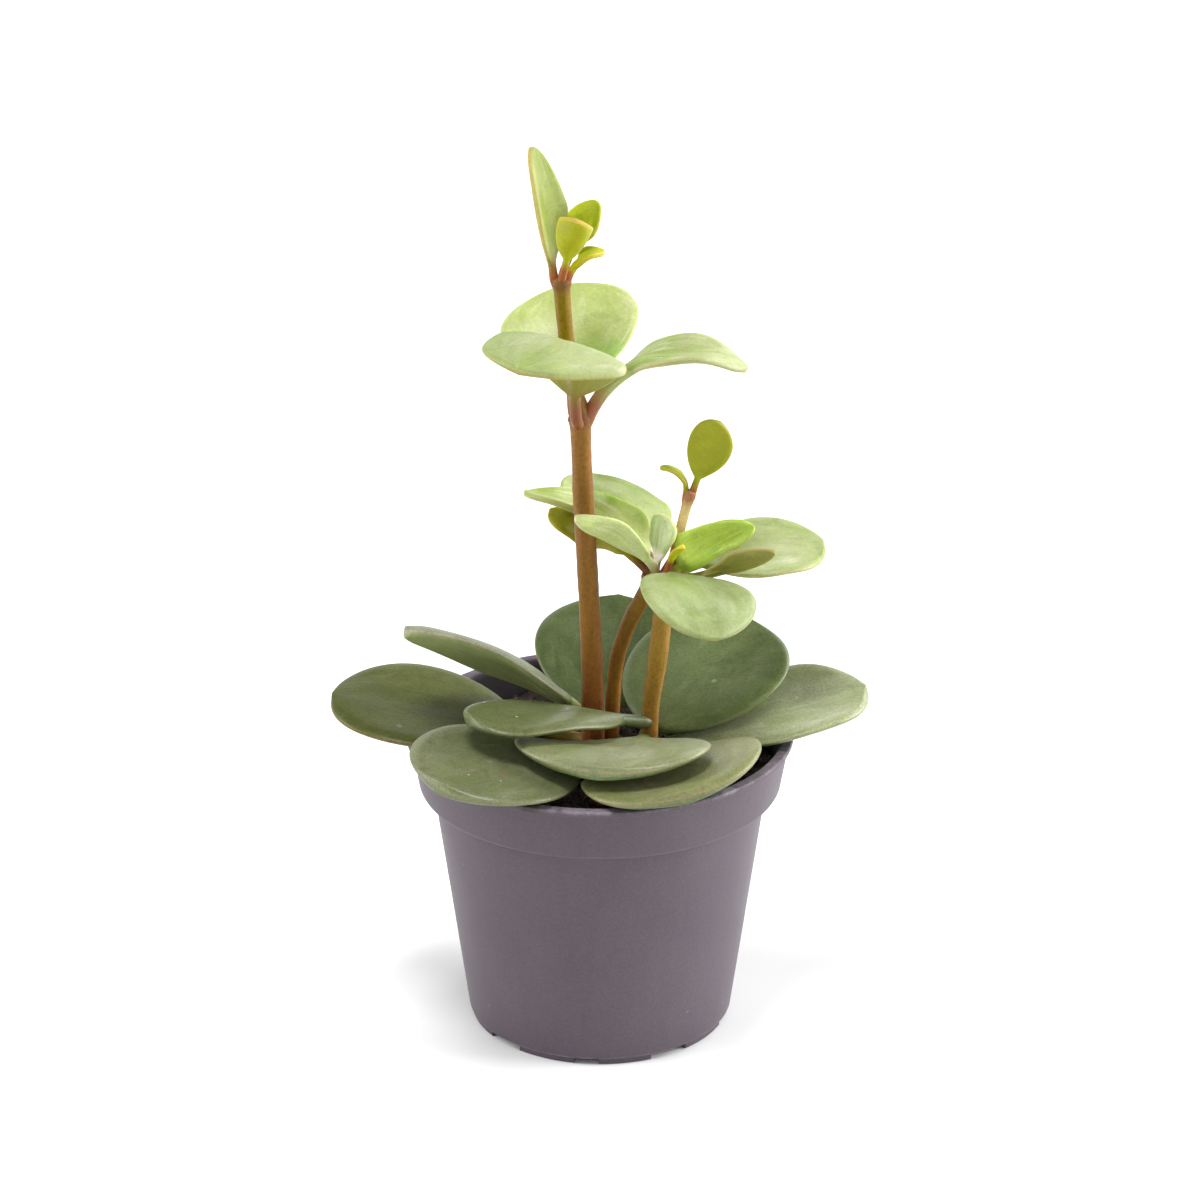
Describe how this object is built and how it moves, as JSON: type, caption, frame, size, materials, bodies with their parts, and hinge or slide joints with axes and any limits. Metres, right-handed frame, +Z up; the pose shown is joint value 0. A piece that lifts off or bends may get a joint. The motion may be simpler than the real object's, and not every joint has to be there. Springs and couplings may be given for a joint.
{
  "type": "potted succulent houseplant",
  "caption": "Small upright houseplant with thick oval leaves in whorls on slim jointed stems, rooted in soil in a thin tapered nursery pot with an overhanging rim collar.",
  "frame": {"origin": "centre of the pot's foot, on the surface the pot stands on", "axes": "+Z up along the pot's axis, +X to the right of the plant and -Y to the front as it is seen, so +Y is its back"},
  "size_m": [0.0831, 0.0653, 0.1411],
  "materials": {
    "pot_plastic": "satin mauve grey injection-moulded plastic",
    "soil_peat": "loose dark moist peat",
    "stem_skin": "smooth fleshy, orange brown",
    "leaf_mature": "satin thick leaf, muted grey green",
    "leaf_young": "soft satin thin leaf, pale green",
    "leaf_bud": "soft satin small leaf, lime green"
  },
  "bodies": {
    "root": {"pot": "pot_plastic", "stem_tall": "stem_skin", "stem_middle": "stem_skin", "stem_right": "stem_skin", "soil": "soil_peat", "leaf_far_left": "leaf_mature", "leaf_upper_left": "leaf_mature", "leaf_back": "leaf_mature", "leaf_back_right": "leaf_mature", "leaf_right": "leaf_mature", "leaf_front_left": "leaf_mature", "leaf_front_upper": "leaf_mature", "leaf_front_middle": "leaf_mature", "leaf_front_right": "leaf_mature", "young_back": "leaf_young", "young_front": "leaf_young", "young_right": "leaf_young", "crown_long": "leaf_young", "crown_back": "leaf_young", "crown_under": "leaf_young", "crown_left": "leaf_young", "joint_right": "leaf_young", "joint_bright": "leaf_young", "joint_under": "leaf_young", "joint_front": "leaf_young", "tip_tall": "leaf_bud", "tip_folded": "leaf_bud", "tip_round": "leaf_bud", "tip_small": "leaf_bud", "crown_upright": "leaf_bud", "joint_bud": "leaf_bud", "top_spoon": "leaf_bud", "top_curl": "leaf_bud"}
  },
  "joints": []
}
